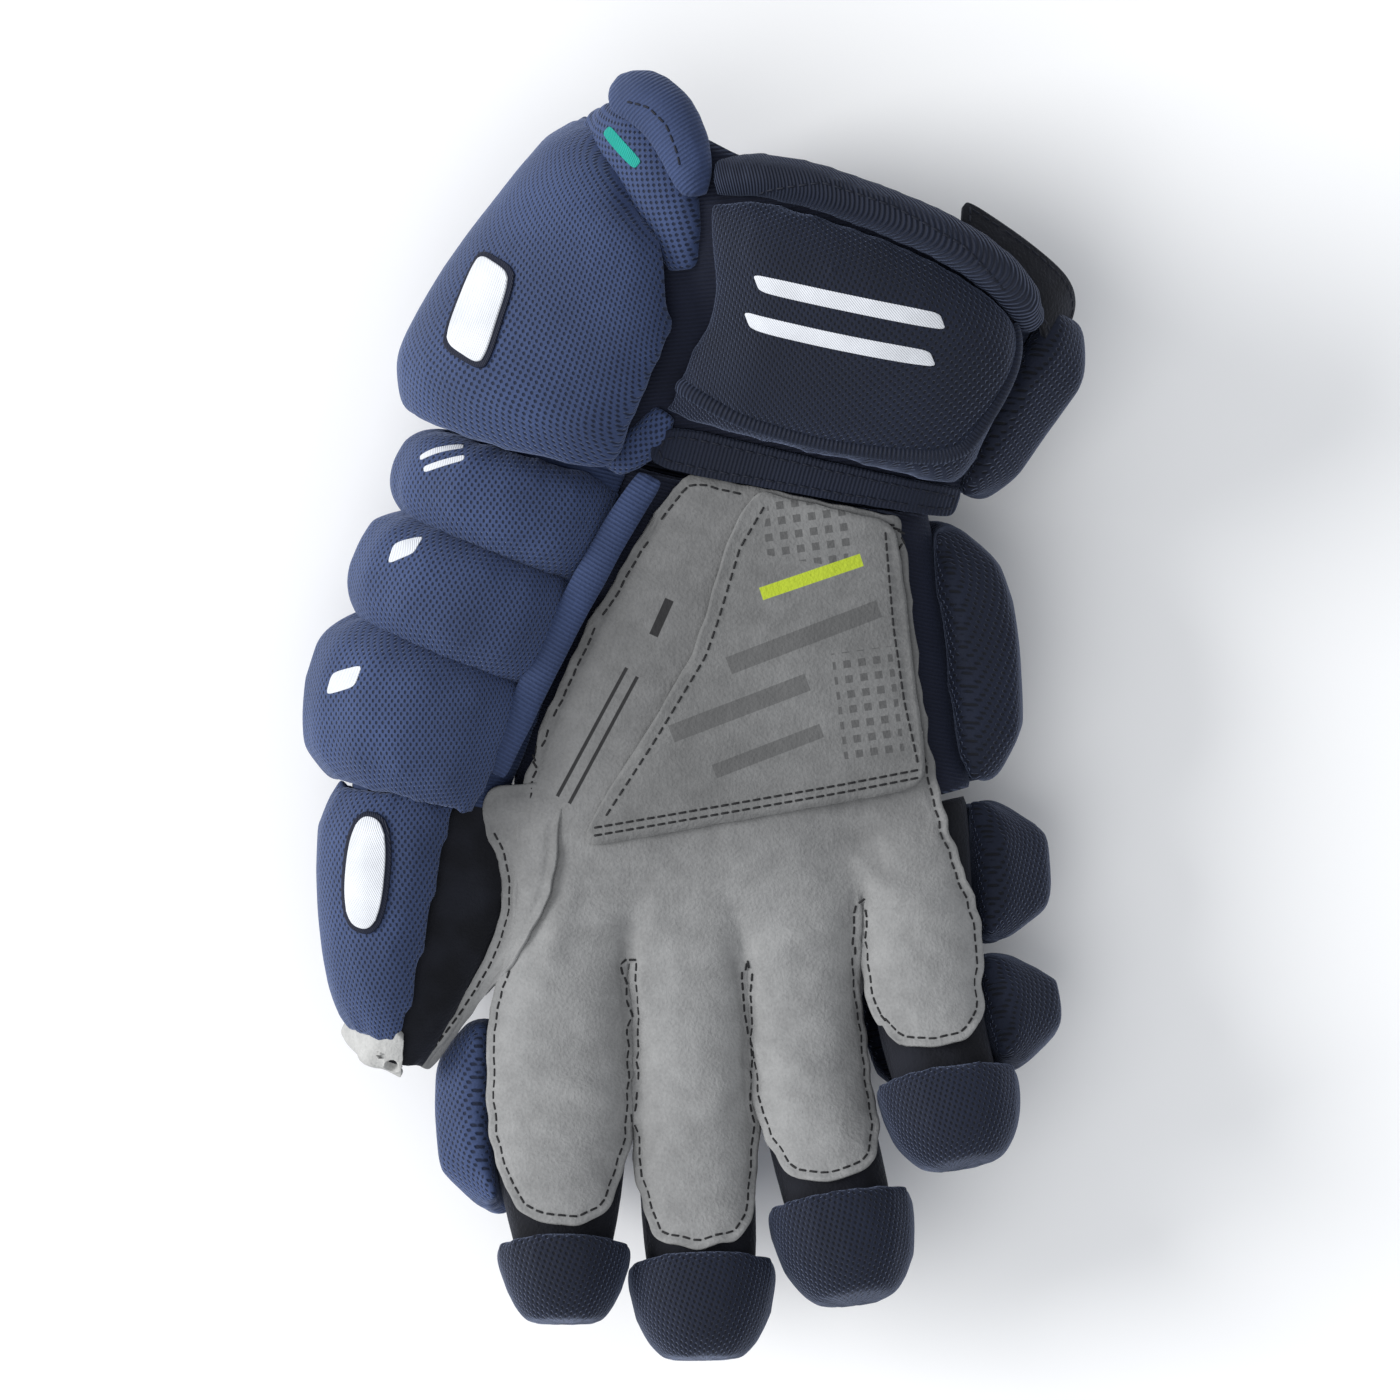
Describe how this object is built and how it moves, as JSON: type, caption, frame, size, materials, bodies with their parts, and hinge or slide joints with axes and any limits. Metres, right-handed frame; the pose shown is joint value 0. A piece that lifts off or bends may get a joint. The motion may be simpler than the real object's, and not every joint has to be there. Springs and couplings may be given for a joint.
{
  "type": "ice hockey glove",
  "caption": "Padded ice hockey glove for the right hand, lying palm up: leather palm, foam rolls on the back, fingers and thumb, and a flared padded cuff open at its mouth",
  "frame": {"origin": "on the flat resting face of the middle roll on the back of the hand, where it meets the surface", "axes": "+Y from the fingertips to the cuff, +Z out of the palm and up, +X from the thumb to the little finger"},
  "size_m": [0.2206, 0.3685, 0.1007],
  "materials": {
    "mesh_fabric": "navy open-mesh knit over foam",
    "plain_fabric": "navy ribbed woven textile",
    "gusset_fabric": "black matte knit",
    "grey_leather": "grey suede"
  },
  "bodies": {
    "root": {"index_stall": "gusset_fabric", "middle_stall": "gusset_fabric", "ring_stall": "gusset_fabric", "pinky_stall": "gusset_fabric", "thumb_stall": "gusset_fabric", "cuff_strap": "gusset_fabric", "hand_sleeve": "plain_fabric", "cuff_shell": "plain_fabric", "wrist_band": "plain_fabric", "wrist_binding": "plain_fabric", "thumb_piping": "plain_fabric", "cuff_roll_upper": "plain_fabric", "palm_leather": "grey_leather", "palm_overlay": "grey_leather", "thumb_leather": "grey_leather", "thumb_tip_fold": "grey_leather", "thumb_roll_1": "mesh_fabric", "thumb_roll_2": "mesh_fabric", "thumb_roll_3": "mesh_fabric", "thumb_back_pad": "mesh_fabric", "cuff_side_pad": "mesh_fabric", "cuff_roll_lower": "mesh_fabric", "wrist_pad": "mesh_fabric", "cuff_outer_pad": "mesh_fabric", "cuff_back_pad": "mesh_fabric", "back_roll_1": "mesh_fabric", "back_roll_2": "mesh_fabric", "back_roll_3": "mesh_fabric", "side_pad": "mesh_fabric", "index_pad_1": "mesh_fabric", "index_pad_2": "mesh_fabric", "index_tip_cap": "mesh_fabric", "middle_pad_1": "mesh_fabric", "middle_pad_2": "mesh_fabric", "middle_tip_cap": "mesh_fabric", "ring_pad_1": "mesh_fabric", "ring_pad_2": "mesh_fabric", "ring_tip_cap": "mesh_fabric", "pinky_pad_1": "mesh_fabric", "pinky_pad_2": "mesh_fabric", "pinky_tip_cap": "mesh_fabric"}
  },
  "joints": []
}
